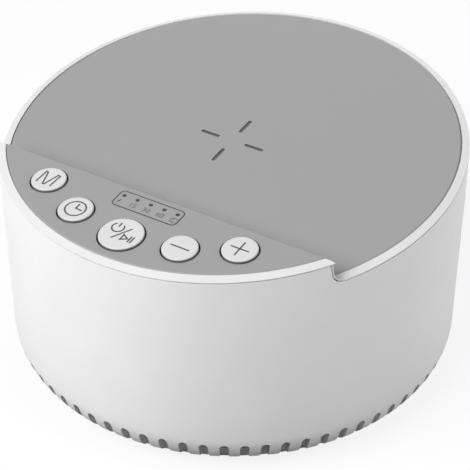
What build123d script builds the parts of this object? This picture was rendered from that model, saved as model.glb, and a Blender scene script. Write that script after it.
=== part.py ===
from build123d import *
import os
from math import asin, cos, degrees, radians, sin, sqrt, tan

# Bedside white noise machine: a round drum with a slanted top in two levels.
# The rear level is a pad that a phone lies on to charge. The front level stands
# a step higher, stops the phone, and carries five round push buttons.
# Millimetres. The origin is on the table under the middle of the drum,
# +X is the user's right, -Y the side with the buttons, +Z up.

os.makedirs("parts", exist_ok=True)

# Drum
drum_radius = 60.0
foot_gap = 1.2
wall = 2.2
draft_run = 0.54
straight_drop = 11.6
curve_width = 7.75
curve_height = 9.85

# Slanted top, measured square to its own plane
pad_height = 60.6
top_tilt = 6.8
step_height = 5.8
step_setback = 7.2
foot_fillet = 1.9
foot_fillet_share = 0.6
crest_fillet = 0.5

# White rim and the seam under it
rim_width = 1.9
rim_drop = 0.6
rim_land = 0.15
seam_gap = 0.3
lip_thickness = 0.85
frame_clearance = 0.15
frame_depth = 6.0
ledge_width = 1.5

# Vent slots round the lower edge
vent_count = 72
vent_width = 2.4
vent_top = 9.2
vent_depth = 5.4
liner_thickness = 0.4
liner_clearance = 0.15
liner_sweep = 70

# Top cover and the deck below it
cover_thickness = 1.8
cover_clearance = 0.12
cover_edge = 0.4
deck_thickness = 1.6

# Charging mark cut in the pad
mark_inner = 3.8
mark_outer = 9.3
mark_width = 1.0
mark_depth = 0.25
mark_x = -0.46
mark_y = -0.12

# Push buttons
button_inset = 8.5
button_radius = 4.45
power_radius = 5.62
button_spacing = 5.25
button_proud = 0.55
button_clearance = 0.4
button_edge = 0.4
button_travel = 0.5
flange_lip = 0.45
flange_clearance = 0.4
flange_thickness = 1.0
stop_clearance = 0.1
plunger_radius = 1.7
plunger_length = 0.7

# Tact switches and control board
switch_size = 6.0
switch_height = 3.5
stem_clearance = 0.2
stem_depth = 1.1
stem_inside = 0.8
board_thickness = 1.6
control_clearance = 2.1
control_setback = 1.4
control_post_radius = 2.3
control_post_x = 12.8
control_post_inset = 2.2

# Timer lights
light_count = 5
light_pitch = 3.9
light_setback = 3.2
light_radius = 0.48
light_clearance = 0.08
light_recess = 0.15
light_bar_height = 1.0
light_bar_margin = 1.2
light_bar_width = 2.4
bar_clearance = 0.4
led_length = 1.6
led_width = 0.8
led_height = 0.8
led_gap = 0.1
plate_length = 18.4
plate_width = 5.5
plate_corner = 1.2
plate_setback = 1.2
plate_thickness = 0.8
plate_gap = 0.2

# Charging coil
coil_share = 0.358
coil_winding = 11.5
coil_thickness = 1.2
ferrite_margin = 2.0
ferrite_thickness = 0.8
tray_rim = 2.2
tray_thickness = 1.5
stake_setback = 4.3
stake_radius = 0.9
stake_head = 1.7
stake_head_height = 0.6
stake_clearance = 0.15
window_clearance = 0.5
coil_lead_inset = 3.6
coil_lead_angle = 26.6
coil_lead_drop = 10.0
lead_radius = 0.6
lead_spacing = 1.8
lead_clearance = 0.3
lead_bend = 8.0
coil_lead_run = 9.5

# Base plate, its posts, screws and feet
base_rim = 2.7
base_lip = 2.2
base_clearance = 0.2
base_thickness = 2.2
base_ring_height = 4.2
post_radius = 4.4
foot_radius = 6.0
foot_inset = 4.0
foot_seat = 0.8
foot_edge = 0.4
foot_clearance = 0.2
screw_radius = 1.45
screw_head_radius = 2.8
screw_head_height = 2.0
screw_clearance = 0.1
screw_bite = 8.0
screw_seat = 5.0
boss_radius = 3.6
diffuser_radius = 15.0
diffuser_height = 7.0
diffuser_tip = 2.5

# Baffle and main board
baffle_bottom = 20.0
baffle_thickness = 2.0
baffle_clearance = 0.3
speaker_opening = 17.4
standoff_height = 4.0
standoff_radius = 2.4
main_clearance = 3.8
main_boss_gap = 3.4
main_post_inset = 3.3
main_post_angles = (49, 73)
small_screw_radius = 0.95
small_screw_clearance = 0.05
small_head_radius = 1.8
small_head_height = 1.2
small_screw_bite = 3.0

# Speaker, which fires down
gasket_thickness = 0.6
gasket_bore = 18.6
speaker_radius = 22.0
speaker_flange = 1.0
flange_bore = 16.6
basket_shoulder = 19.0
basket_wall = 0.8
basket_neck = 12.5
basket_height = 8.4
basket_ring_bore = 9.0
basket_window = 9.0
basket_band = 1.2
basket_window_turn = 15
spider_ledge_bore = 10.8
spider_ledge_drop = 2.6
tab_width = 6.0
tab_length = 4.5
terminal_angle = 60
terminal_setback = 2.5
terminal_length = 3.0
terminal_height = 1.5
top_plate_radius = 13.5
top_plate_height = 2.0
magnet_radius = 15.0
magnet_bore = 8.2
magnet_height = 5.5
yoke_radius = 13.5
yoke_height = 2.0
yoke_chamfer = 0.8
pole_radius = 6.2
gap_clearance = 0.3
former_wall = 0.35
winding_wall = 0.35
winding_height = 4.0
former_end = 0.2
cone_wall = 0.4
cone_land = 1.0
cone_edge_radius = 14.6
cone_depth = 4.6
cap_rise = 1.4
surround_wall = 0.35
surround_lip = 1.7
surround_bulge = 0.5
spider_wall = 0.35
spider_glue = 0.05

# USB-C inlet in the rear wall
inlet_width = 8.94
inlet_height = 3.26
inlet_length = 7.3
inlet_wall = 0.3
inlet_sink = 1.3
inlet_clearance = 0.35
tongue_width = 6.7
tongue_height = 0.7
tongue_length = 5.2

# Parts on the main board and the flat ribbon between the boards
ribbon_width = 10.0
ribbon_thickness = 0.3
ribbon_setback = 5.1
ribbon_bend = 8.0
socket_wall = 1.2
socket_width = 4.0
socket_height = 2.4
lead_socket_length = 5.0
lead_socket_height = 4.0
socket_setback = 3.4
chip_height = 1.0
chip_size = 7.0
chip_setback = 7.6
chip_gap = 8.5
capacitor_radius = 3.15
capacitor_height = 7.7
capacitor_x = 8.2
power_inset = 8.4
inductor_size = 6.0
inductor_height = 3.6
inductor_edge = 0.8

# How far a cut runs past the surface it opens
cut_margin = 1.0

# Worked out from the values above
floor_z = foot_gap
curve_top = floor_z + curve_height
draft_top = pad_height - straight_drop
vent_reach = drum_radius - vent_depth
wall_foot = drum_radius - draft_run
flat_radius = wall_foot - curve_width
base_radius = flat_radius - base_rim
post_ring = base_radius - foot_radius - foot_inset
boss_line = post_ring * sin(radians(45)) + boss_radius
tilt = radians(top_tilt)
seam_top = rim_drop + rim_land
seam_bottom = seam_top + seam_gap
lip_inner = drum_radius - lip_thickness
rim_inner = drum_radius - rim_width
frame_bore = rim_inner - ledge_width
cover_radius = rim_inner - cover_clearance
button_ring = cover_radius - button_inset
inner_chord = power_radius + button_spacing + button_radius
outer_chord = button_spacing + 2 * button_radius
inner_angle = 2 * degrees(asin(inner_chord / (2 * button_ring)))
outer_angle = inner_angle + 2 * degrees(asin(outer_chord / (2 * button_ring)))
step_line = button_ring * cos(radians(outer_angle)) - step_setback
front_cover_bottom = step_height - cover_thickness
front_deck_bottom = front_cover_bottom - deck_thickness
rear_deck_bottom = -cover_thickness - deck_thickness
flange_top = front_deck_bottom - stop_clearance
flange_bottom = flange_top - flange_thickness
stem_top = flange_bottom - plunger_length
switch_top = stem_top - stem_depth
control_top = switch_top - switch_height
control_bottom = control_top - board_thickness
control_radius = frame_bore - control_clearance
control_edge = step_line + control_setback
baffle_top = baffle_bottom + baffle_thickness
main_bottom = baffle_top + standoff_height
main_top = main_bottom + board_thickness
main_radius = drum_radius - wall - main_clearance
main_front = boss_line + main_boss_gap
socket_row = main_front + socket_setback
chip_row = main_front + chip_setback
power_row = main_radius - power_inset
inlet_z = main_top + inlet_height / 2
light_row = step_line + light_setback
plate_row = light_row + plate_setback
ribbon_row = light_row + ribbon_setback
light_span = (light_count - 1) * light_pitch
pin_bore = light_radius + light_clearance
light_bar_length = light_span + 2 * light_bar_margin
led_top = control_top + led_height
coil_radius = coil_share * drum_radius
coil_bore = coil_radius - coil_winding
ferrite_radius = coil_radius + ferrite_margin
stake_ring = ferrite_radius + stake_setback
tray_radius = stake_ring + tray_rim
coil_lead_ring = coil_radius - coil_lead_inset
coil_lead_x = coil_lead_ring * cos(radians(coil_lead_angle))
coil_lead_y = coil_lead_ring * sin(radians(coil_lead_angle))
coil_bottom = -cover_thickness - coil_thickness
terminal_ring = speaker_radius + terminal_setback
terminal_x = terminal_ring * cos(radians(terminal_angle))
terminal_y = terminal_ring * sin(radians(terminal_angle))
ferrite_sink = coil_thickness + ferrite_thickness - deck_thickness
tray_bottom = rear_deck_bottom - ferrite_sink - tray_thickness
lead_bore = lead_radius + lead_clearance
flange_z = baffle_top + gasket_thickness
flange_back = flange_z + speaker_flange
plate_z = flange_z + basket_height
magnet_z = plate_z + top_plate_height
yoke_z = magnet_z + magnet_height
ledge_z = plate_z - spider_ledge_drop
former_inner = pole_radius + gap_clearance
former_outer = former_inner + former_wall
winding_outer = former_outer + winding_wall
gap_radius = winding_outer + gap_clearance
winding_z = plate_z + (top_plate_height - winding_height) / 2
former_top = winding_z + winding_height + former_end
surround_z = flange_z - surround_wall
cone_z = surround_z
cone_top = cone_z + cone_depth
lead_z = main_top + lead_socket_height / 2
side_plane = Plane(origin=(0, 0, pad_height), x_dir=(0, cos(tilt), sin(tilt)), z_dir=(1, 0, 0))
pad_plane = Plane(origin=(0, 0, pad_height), x_dir=(1, 0, 0), z_dir=(0, -sin(tilt), cos(tilt)))
pad_axis = Axis(pad_plane.origin, pad_plane.z_dir)


def wall_inner_radius(z):
    """Inside radius of the drum's wall at a height between its curve and its straight top."""
    share = min(max((z - curve_top) / (draft_top - curve_top), 0), 1)
    return drum_radius - wall - draft_run * (1 - share)


def stepped_block(depth):
    """Everything under the two-level top, set in from its surface by a depth."""
    reach = 2 * drum_radius
    crest = step_height - depth
    riser = -step_line - depth
    with BuildPart() as block:
        with BuildSketch(side_plane) as section:
            with BuildLine():
                Polyline(
                    (-reach, -reach), (-reach, crest), (riser, crest),
                    (riser, -depth), (reach, -depth), (reach, -reach), close=True,
                )
            make_face()
            inner_fillet = min(foot_fillet + depth, foot_fillet_share * step_height)
            fillet(section.vertices().sort_by_distance((riser, -depth))[0], inner_fillet)
            if depth < crest_fillet:
                fillet(section.vertices().sort_by_distance((riser, crest))[0], crest_fillet - depth)
        extrude(amount=reach, both=True)
    return block.part


def upright_cylinder(radius, bottom=0.0, top=2 * pad_height):
    """A plain cylinder on the drum's own axis."""
    with BuildPart() as drum:
        with BuildSketch(Plane.XY.offset(bottom)):
            Circle(radius)
        extrude(amount=top - bottom)
    return drum.part


def top_frustum(level, radius, drop, width):
    """The bevelled slice of an upright round plate that ends at a level of the slanted top."""
    with BuildPart() as slice_part:
        for height, slice_radius in ((level - drop, radius), (level, radius - width)):
            with BuildSketch(pad_plane.offset(height)):
                with Locations((0, height * tan(tilt))):
                    Ellipse(slice_radius, slice_radius / cos(tilt))
        loft(ruled=True)
    return slice_part.part


def bevelled_top(radius, drop, width):
    """An upright round plate under the two-level top, with its upper edge bevelled all round."""
    plate = upright_cylinder(radius, draft_top - frame_depth)
    low_y = -step_line - drop
    inner_x = sqrt((radius - width) ** 2 - step_line**2)
    outer_x = sqrt(radius**2 - low_y**2)
    with BuildPart() as riser_edge:
        with BuildSketch(pad_plane.offset(-drop)):
            with BuildLine():
                Polyline(
                    (-inner_x, -step_line), (inner_x, -step_line), (outer_x, low_y),
                    (outer_x, low_y - wall), (-outer_x, low_y - wall), (-outer_x, low_y), close=True,
                )
            make_face()
        extrude(amount=step_height)
    bevels = top_frustum(step_height, radius, drop, width) + top_frustum(0, radius, drop, width)
    edges = (bevels & surface_block) + (riser_edge.part & plate & surface_block)
    return (plate & stepped_block(drop)) + edges


def post_group(points, radius, bottom, top, plane):
    """Round posts standing on a plane's own grid of points between two heights."""
    with BuildPart() as posts:
        with BuildSketch(plane.offset(bottom)):
            with Locations(points):
                Circle(radius)
        extrude(amount=top - bottom)
    return posts.part


def round_wire(points, radius, bends):
    """A round wire along straight runs joined by arcs."""
    with BuildPart() as wire:
        with BuildLine() as route:
            FilletPolyline(*points, radius=bends)
        with BuildSketch(Plane(origin=route.line @ 0, z_dir=route.line % 0)):
            Circle(radius)
        sweep()
    return wire.part


buttons = {
    "mode": (-outer_angle, button_radius),
    "timer": (-inner_angle, button_radius),
    "power": (0.0, power_radius),
    "minus": (inner_angle, button_radius),
    "plus": (outer_angle, button_radius),
}


def ring_point(angle):
    """Place on the button ring, in the top's own plane, at an angle from the front."""
    return (button_ring * sin(radians(angle)), -button_ring * cos(radians(angle)))


button_points = {name: ring_point(angle) for name, (angle, radius) in buttons.items()}
surface_block = stepped_block(0)
cover_block = stepped_block(cover_thickness)
deck_block = stepped_block(cover_thickness + deck_thickness)
light_points = [((i - (light_count - 1) / 2) * light_pitch, -light_row) for i in range(light_count)]
outer_post_x = sqrt((control_radius - control_post_inset) ** 2 - light_row**2)
control_posts = [
    (side * x, -y)
    for side in (-1, 1)
    for x, y in ((control_post_x, plate_row), (outer_post_x, light_row))
]
main_post_ring = main_radius - main_post_inset
main_posts = [
    (side * main_post_ring * cos(radians(angle)), main_post_ring * sin(radians(angle)))
    for side in (-1, 1)
    for angle in main_post_angles
]
post_places = PolarLocations(post_ring, 4, start_angle=45).local_locations

# Drum: one moulded wall, curved in at the foot, with a ring that takes the base plate
with BuildPart() as vent_cutter:
    with BuildSketch(Plane.XZ.offset(vent_reach)) as slot:
        with Locations((0, vent_top - vent_width / 2)):
            Circle(vent_width / 2)
        with Locations((0, vent_top - vent_width / 2)):
            Rectangle(vent_width, vent_top, align=(Align.CENTER, Align.MAX))
    extrude(amount=vent_depth + cut_margin)

frame_seat = upright_cylinder(lip_inner) - stepped_block(frame_depth + frame_clearance)
drum_top = stepped_block(seam_bottom)

with BuildPart() as housing:
    with BuildSketch(Plane.XZ):
        with BuildLine():
            high = 2 * pad_height
            l1 = Line((base_radius - base_lip, floor_z), (flat_radius, floor_z))
            l2 = EllipticalCenterArc((flat_radius, curve_top), curve_width, curve_height, -90)
            l3 = Line(l2 @ 1, (drum_radius, draft_top))
            Polyline(
                l3 @ 1, (drum_radius, high), (drum_radius - wall, high),
                (drum_radius - wall, draft_top), (wall_foot - wall, curve_top),
            )
            l4 = EllipticalCenterArc(
                (flat_radius, curve_top), curve_width - wall, curve_height - wall, -90
            )
            Polyline(
                l4 @ 0, (flat_radius, floor_z + base_ring_height),
                (base_radius - base_lip, floor_z + base_ring_height), l1 @ 0,
            )
        make_face()
    revolve(axis=Axis.Z)
    with BuildSketch(Plane.XY.offset(floor_z)):
        Circle(base_radius + base_clearance)
    extrude(amount=base_thickness, mode=Mode.SUBTRACT)
    with PolarLocations(0, vent_count):
        add(vent_cutter.part, mode=Mode.SUBTRACT)
    with BuildSketch(Plane.XZ.offset(-drum_radius - cut_margin)):
        with Locations((0, inlet_z)):
            SlotOverall(inlet_width + 2 * inlet_clearance, inlet_height + 2 * inlet_clearance)
    extrude(amount=wall + 2 * cut_margin, mode=Mode.SUBTRACT)
    add(frame_seat, mode=Mode.SUBTRACT)
    add(drum_top, mode=Mode.INTERSECT)
housing.part.label = "housing"
export_step(housing.part, "parts/housing.step")

# Vent liner: black sound cloth that lines the inside of the slotted curve
liner_gap = wall + liner_clearance
with BuildPart() as vent_liner:
    with BuildSketch(Plane.XZ):
        with BuildLine():
            outer_arc = EllipticalCenterArc(
                (flat_radius, curve_top), curve_width - liner_gap, curve_height - liner_gap,
                -liner_sweep, arc_size=liner_sweep,
            )
            inner_arc = EllipticalCenterArc(
                (flat_radius, curve_top), curve_width - liner_gap - liner_thickness,
                curve_height - liner_gap - liner_thickness, -liner_sweep, arc_size=liner_sweep,
            )
            Line(outer_arc @ 0, inner_arc @ 0)
            Line(outer_arc @ 1, inner_arc @ 1)
        make_face()
    revolve(axis=Axis.Z)
vent_liner.part.label = "vent_liner"
export_step(vent_liner.part, "parts/vent_liner.step")

# Top frame: white bevelled rim, a ledge and deck under the cover, and four long screw bosses
frame_bosses = post_group(post_places, boss_radius, baffle_top, 2 * pad_height, Plane.XY) & cover_block
lip_outside = upright_cylinder(drum_radius + cut_margin)
lip_relief = lip_outside - upright_cylinder(lip_inner - frame_clearance)
cover_recess = upright_cylinder(rim_inner) - cover_block
frame_hollow = upright_cylinder(frame_bore) & deck_block
control_bosses = post_group(
    control_posts, control_post_radius, control_top, front_cover_bottom, pad_plane
) & cover_block

with BuildPart() as top_frame:
    add(bevelled_top(drum_radius, rim_drop, rim_width))
    add(cover_recess, mode=Mode.SUBTRACT)
    add(lip_relief & stepped_block(seam_top), mode=Mode.SUBTRACT)
    add(stepped_block(frame_depth), mode=Mode.SUBTRACT)
    add(frame_hollow, mode=Mode.SUBTRACT)
    with BuildSketch(pad_plane.offset(-cover_thickness)):
        Circle(ferrite_radius + window_clearance)
    extrude(amount=-2 * deck_thickness, mode=Mode.SUBTRACT)
    add(frame_bosses)
    add(control_bosses)
    with BuildSketch(pad_plane.offset(rear_deck_bottom)):
        with PolarLocations(stake_ring, 4, start_angle=45):
            Circle(stake_radius)
    extrude(amount=tray_bottom - rear_deck_bottom)
    with BuildSketch(pad_plane.offset(tray_bottom)):
        with PolarLocations(stake_ring, 4, start_angle=45):
            Circle(stake_head)
    extrude(amount=-stake_head_height)
    for name, (angle, radius) in buttons.items():
        with BuildSketch(pad_plane.offset(front_cover_bottom)):
            with Locations(button_points[name]):
                Circle(radius + button_clearance)
        extrude(amount=-2 * deck_thickness, mode=Mode.SUBTRACT)
        with BuildSketch(pad_plane.offset(front_deck_bottom)):
            with Locations(button_points[name]):
                Circle(radius + button_clearance + flange_lip + flange_clearance)
        extrude(amount=control_top - front_deck_bottom, mode=Mode.SUBTRACT)
    with BuildSketch(pad_plane.offset(front_cover_bottom)):
        with Locations((0, -light_row)):
            SlotOverall(light_span + 2 * pin_bore, 2 * pin_bore)
    extrude(amount=-2 * deck_thickness, mode=Mode.SUBTRACT)
    with BuildSketch(pad_plane.offset(front_deck_bottom)):
        with Locations((0, -light_row)):
            Rectangle(light_bar_length + 2 * bar_clearance, light_bar_width + 2 * bar_clearance)
    extrude(amount=rear_deck_bottom - front_deck_bottom - deck_thickness, mode=Mode.SUBTRACT)
    with BuildSketch(pad_plane.offset(control_top)):
        with Locations(control_posts):
            Circle(small_screw_radius + small_screw_clearance)
    extrude(amount=small_screw_bite + cut_margin, mode=Mode.SUBTRACT)
    with BuildSketch(Plane.XY.offset(baffle_top)):
        with Locations(post_places):
            Circle(screw_radius + screw_clearance)
    extrude(amount=screw_bite + cut_margin, mode=Mode.SUBTRACT)
top_frame.part.label = "top_frame"
export_step(top_frame.part, "parts/top_frame.step")

# Top cover: one grey moulding, stepped like the frame, with the charging mark cut in it
with BuildPart() as top_cover:
    add(bevelled_top(cover_radius, cover_edge, cover_edge))
    add(cover_block, mode=Mode.SUBTRACT)
    for name, (angle, radius) in buttons.items():
        with BuildSketch(pad_plane.offset(step_height)):
            with Locations(button_points[name]):
                Circle(radius + button_clearance)
        extrude(amount=-2 * cover_thickness, mode=Mode.SUBTRACT)
    with BuildSketch(pad_plane.offset(step_height)):
        with Locations((0, -plate_row)):
            RectangleRounded(
                plate_length + 2 * plate_gap, plate_width + 2 * plate_gap, plate_corner + plate_gap
            )
    extrude(amount=-plate_thickness, mode=Mode.SUBTRACT)
    with BuildSketch(pad_plane.offset(step_height)):
        with Locations(light_points):
            Circle(pin_bore)
    extrude(amount=-2 * cover_thickness, mode=Mode.SUBTRACT)
    with BuildSketch(pad_plane):
        with Locations((mark_x, mark_y)):
            with PolarLocations((mark_inner + mark_outer) / 2, 4):
                SlotOverall(mark_outer - mark_inner, mark_width)
    extrude(amount=-mark_depth, mode=Mode.SUBTRACT)
top_cover.part.label = "top_cover"
export_step(top_cover.part, "parts/top_cover.step")

# Indicator plate: a thin label plate let into the cover round the five timer lights
with BuildPart() as indicator_plate:
    with BuildSketch(pad_plane.offset(step_height - plate_thickness)):
        with Locations((0, -plate_row)):
            RectangleRounded(plate_length, plate_width, plate_corner)
        with Locations(light_points):
            Circle(pin_bore, mode=Mode.SUBTRACT)
    extrude(amount=plate_thickness)
indicator_plate.part.label = "indicator_plate"
export_step(indicator_plate.part, "parts/indicator_plate.step")

# Light pipes: five clear pins on one bar, from the lights up to the plate
with BuildPart() as light_pipes:
    with BuildSketch(pad_plane.offset(front_deck_bottom - light_bar_height)):
        with Locations((0, -light_row)):
            Rectangle(light_bar_length, light_bar_width)
    extrude(amount=light_bar_height)
    with BuildSketch(pad_plane.offset(led_top + led_gap)):
        with Locations(light_points):
            Circle(light_radius)
    extrude(amount=step_height - light_recess - led_top - led_gap)
light_pipes.part.label = "light_pipes"
export_step(light_pipes.part, "parts/light_pipes.step")

# Push buttons: white caps whose flanges stop under the deck, each on its own switch stem
for name, (angle, radius) in buttons.items():
    with BuildPart() as cap:
        with BuildSketch(pad_plane.offset(flange_bottom)):
            with Locations(button_points[name]):
                Circle(radius + button_clearance + flange_lip)
        extrude(amount=flange_thickness)
        with BuildSketch(pad_plane.offset(flange_bottom)):
            with Locations(button_points[name]):
                Circle(radius)
        extrude(amount=step_height + button_proud - flange_bottom)
        fillet(cap.edges().sort_by(pad_axis)[-1], button_edge)
        with BuildSketch(pad_plane.offset(flange_bottom)):
            with Locations(button_points[name]):
                Circle(plunger_radius)
        extrude(amount=-plunger_length)
    cap.part.label = f"button_{name}"
    export_step(cap.part, f"parts/button_{name}.step")
    with BuildPart() as stem:
        with BuildSketch(pad_plane.offset(stem_top)):
            with Locations(button_points[name]):
                Circle(plunger_radius)
        extrude(amount=-stem_depth - stem_inside)
    stem.part.label = f"switch_stem_{name}"
    export_step(stem.part, f"parts/switch_stem_{name}.step")

# Tact switches: five square bodies on the control board, each bored for its stem
with BuildPart() as switch_bodies:
    for name, (angle, radius) in buttons.items():
        with BuildSketch(pad_plane.offset(control_top)):
            with Locations(Location((*button_points[name], 0), (0, 0, angle))):
                Rectangle(switch_size, switch_size)
        extrude(amount=switch_height)
    with BuildSketch(pad_plane.offset(switch_top)):
        with Locations(list(button_points.values())):
            Circle(plunger_radius + stem_clearance)
    extrude(amount=-stem_inside - button_travel - stem_clearance, mode=Mode.SUBTRACT)
switch_bodies.part.label = "switch_bodies"
export_step(switch_bodies.part, "parts/switch_bodies.step")

# Control board: crescent under the front ledge, screwed to four posts of the frame
with BuildPart() as control_board:
    with BuildSketch(pad_plane.offset(control_bottom)):
        with Locations((0, control_bottom * tan(tilt))):
            Circle(control_radius)
        with Locations((0, -control_edge)):
            Rectangle(2 * drum_radius, 2 * drum_radius, align=(Align.CENTER, Align.MIN), mode=Mode.SUBTRACT)
        with Locations(control_posts):
            Circle(small_screw_radius + small_screw_clearance, mode=Mode.SUBTRACT)
    extrude(amount=board_thickness)
control_board.part.label = "control_board"
export_step(control_board.part, "parts/control_board.step")

with BuildPart() as timer_leds:
    with BuildSketch(pad_plane.offset(control_top)):
        with Locations(light_points):
            Rectangle(led_length, led_width)
    extrude(amount=led_height)
timer_leds.part.label = "timer_leds"
export_step(timer_leds.part, "parts/timer_leds.step")

with BuildPart() as control_connector:
    with BuildSketch(pad_plane.offset(control_bottom)):
        with Locations((0, -ribbon_row)):
            Rectangle(ribbon_width + 2 * socket_wall, socket_width)
    extrude(amount=-socket_height)
control_connector.part.label = "control_connector"
export_step(control_connector.part, "parts/control_connector.step")

with BuildPart() as control_screws:
    with BuildSketch(pad_plane.offset(control_bottom)):
        with Locations(control_posts):
            Circle(small_head_radius)
    extrude(amount=-small_head_height)
    with BuildSketch(pad_plane.offset(control_bottom)):
        with Locations(control_posts):
            Circle(small_screw_radius)
    extrude(amount=board_thickness + small_screw_bite)
control_screws.part.label = "control_screws"
export_step(control_screws.part, "parts/control_screws.step")

# Charging coil, its ferrite and the tray that holds both up against the pad
with BuildPart() as charging_coil:
    with BuildSketch(pad_plane.offset(-cover_thickness)):
        Circle(coil_radius)
        Circle(coil_bore, mode=Mode.SUBTRACT)
    extrude(amount=-coil_thickness)
charging_coil.part.label = "charging_coil"
export_step(charging_coil.part, "parts/charging_coil.step")

with BuildPart() as ferrite_sheet:
    with BuildSketch(pad_plane.offset(-cover_thickness - coil_thickness)):
        Circle(ferrite_radius)
        with Locations((-coil_lead_x, coil_lead_y)):
            SlotOverall(lead_spacing + 2 * lead_bore, 2 * lead_bore, mode=Mode.SUBTRACT)
    extrude(amount=-ferrite_thickness)
ferrite_sheet.part.label = "ferrite_sheet"
export_step(ferrite_sheet.part, "parts/ferrite_sheet.step")

with BuildPart() as coil_tray:
    with BuildSketch(pad_plane.offset(rear_deck_bottom)):
        Circle(tray_radius)
        with Locations((-coil_lead_x, coil_lead_y)):
            SlotOverall(lead_spacing + 2 * lead_bore, 2 * lead_bore, mode=Mode.SUBTRACT)
        with PolarLocations(stake_ring, 4, start_angle=45):
            Circle(stake_radius + stake_clearance, mode=Mode.SUBTRACT)
    extrude(amount=tray_bottom - rear_deck_bottom)
    with BuildSketch(pad_plane.offset(rear_deck_bottom)):
        Circle(ferrite_radius + window_clearance)
    extrude(amount=-ferrite_sink, mode=Mode.SUBTRACT)
coil_tray.part.label = "coil_tray"
export_step(coil_tray.part, "parts/coil_tray.step")

# Baffle: the floor that the speaker and main board stand on, clamped between posts and bosses
with BuildPart() as speaker_baffle:
    with BuildSketch(Plane.XY.offset(baffle_bottom)):
        Circle(wall_inner_radius(baffle_bottom) - baffle_clearance)
        Circle(speaker_opening, mode=Mode.SUBTRACT)
        with Locations(post_places):
            Circle(screw_radius + screw_clearance, mode=Mode.SUBTRACT)
    extrude(amount=baffle_thickness)
    with BuildSketch(Plane.XY.offset(baffle_top)):
        with Locations(main_posts):
            Circle(standoff_radius)
    extrude(amount=standoff_height)
    with BuildSketch(Plane.XY.offset(main_bottom)):
        with Locations(main_posts):
            Circle(small_screw_radius + small_screw_clearance)
    extrude(amount=-small_screw_bite - small_screw_clearance, mode=Mode.SUBTRACT)
speaker_baffle.part.label = "speaker_baffle"
export_step(speaker_baffle.part, "parts/speaker_baffle.step")

with BuildPart() as speaker_gasket:
    with BuildSketch(Plane.XY.offset(baffle_top)):
        Circle(speaker_radius)
        Circle(gasket_bore, mode=Mode.SUBTRACT)
    extrude(amount=gasket_thickness)
speaker_gasket.part.label = "speaker_gasket"
export_step(speaker_gasket.part, "parts/speaker_gasket.step")

# Speaker basket: pressed frame with four windows and a tab for the terminals
with BuildPart() as speaker_basket:
    with BuildSketch(Plane.XZ):
        with BuildLine():
            Polyline(
                (flange_bore, flange_z), (speaker_radius, flange_z), (speaker_radius, flange_back),
                (basket_shoulder, flange_back), (basket_neck + basket_wall, ledge_z),
                (basket_neck + basket_wall, plate_z), (basket_ring_bore, plate_z),
                (basket_ring_bore, plate_z - basket_wall), (basket_neck, plate_z - basket_wall),
                (basket_neck, ledge_z + basket_wall), (spider_ledge_bore, ledge_z + basket_wall),
                (spider_ledge_bore, ledge_z), (basket_neck, ledge_z), (basket_neck, ledge_z - basket_wall),
                (basket_shoulder - basket_wall, flange_back), (flange_bore, flange_back), close=True,
            )
        make_face()
    revolve(axis=Axis.Z)
    with BuildSketch(Plane.XY.offset(flange_back + basket_wall)):
        with PolarLocations(basket_shoulder, 4, start_angle=basket_window_turn):
            Rectangle(2 * (basket_shoulder - basket_neck), basket_window)
    extrude(amount=ledge_z - flange_back - basket_wall - basket_band, mode=Mode.SUBTRACT)
    with BuildSketch(Plane.XY.offset(flange_z)):
        with PolarLocations(speaker_radius - cut_margin, 1, start_angle=terminal_angle):
            Rectangle(tab_length + cut_margin, tab_width, align=(Align.MIN, Align.CENTER))
    extrude(amount=speaker_flange)
speaker_basket.part.label = "speaker_basket"
export_step(speaker_basket.part, "parts/speaker_basket.step")

with BuildPart() as speaker_terminal:
    with BuildSketch(Plane.XY.offset(flange_back)):
        with PolarLocations(terminal_ring, 1, start_angle=terminal_angle):
            Rectangle(terminal_length, tab_width)
    extrude(amount=terminal_height)
speaker_terminal.part.label = "speaker_terminal"
export_step(speaker_terminal.part, "parts/speaker_terminal.step")

# Magnet system: top plate, ring magnet, and a back plate with the pole through them
with BuildPart() as speaker_top_plate:
    with BuildSketch(Plane.XY.offset(plate_z)):
        Circle(top_plate_radius)
        Circle(gap_radius, mode=Mode.SUBTRACT)
    extrude(amount=top_plate_height)
speaker_top_plate.part.label = "speaker_top_plate"
export_step(speaker_top_plate.part, "parts/speaker_top_plate.step")

with BuildPart() as speaker_magnet:
    with BuildSketch(Plane.XY.offset(magnet_z)):
        Circle(magnet_radius)
        Circle(magnet_bore, mode=Mode.SUBTRACT)
    extrude(amount=magnet_height)
speaker_magnet.part.label = "speaker_magnet"
export_step(speaker_magnet.part, "parts/speaker_magnet.step")

with BuildPart() as speaker_yoke:
    with BuildSketch(Plane.XY.offset(yoke_z)):
        Circle(yoke_radius)
    extrude(amount=yoke_height)
    chamfer(speaker_yoke.edges().sort_by(Axis.Z)[-1], yoke_chamfer)
    with BuildSketch(Plane.XY.offset(plate_z)):
        Circle(pole_radius)
    extrude(amount=yoke_z - plate_z)
speaker_yoke.part.label = "speaker_yoke"
export_step(speaker_yoke.part, "parts/speaker_yoke.step")

# Cone: paper cone with its dust cap and coil former, hung between surround and spider
with BuildPart() as speaker_cone:
    with BuildSketch(Plane.XZ):
        with BuildLine():
            edge = cone_edge_radius - cone_land
            c1 = Line((0, cone_top - cap_rise), (0, cone_top - cap_rise + cone_wall))
            c2 = TangentArc(c1 @ 1, (former_inner, cone_top + cone_wall), tangent=(1, 0))
            c3 = Polyline(
                c2 @ 1, (former_inner, former_top), (former_outer, former_top),
                (former_outer, cone_top + cone_wall), (edge, cone_z + cone_wall),
                (cone_edge_radius, cone_z + cone_wall), (cone_edge_radius, cone_z), (edge, cone_z),
                (former_inner, cone_top),
            )
            TangentArc(c1 @ 0, c3 @ 1, tangent=(1, 0))
        make_face()
    revolve(axis=Axis.Z)
speaker_cone.part.label = "speaker_cone"
export_step(speaker_cone.part, "parts/speaker_cone.step")

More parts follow.
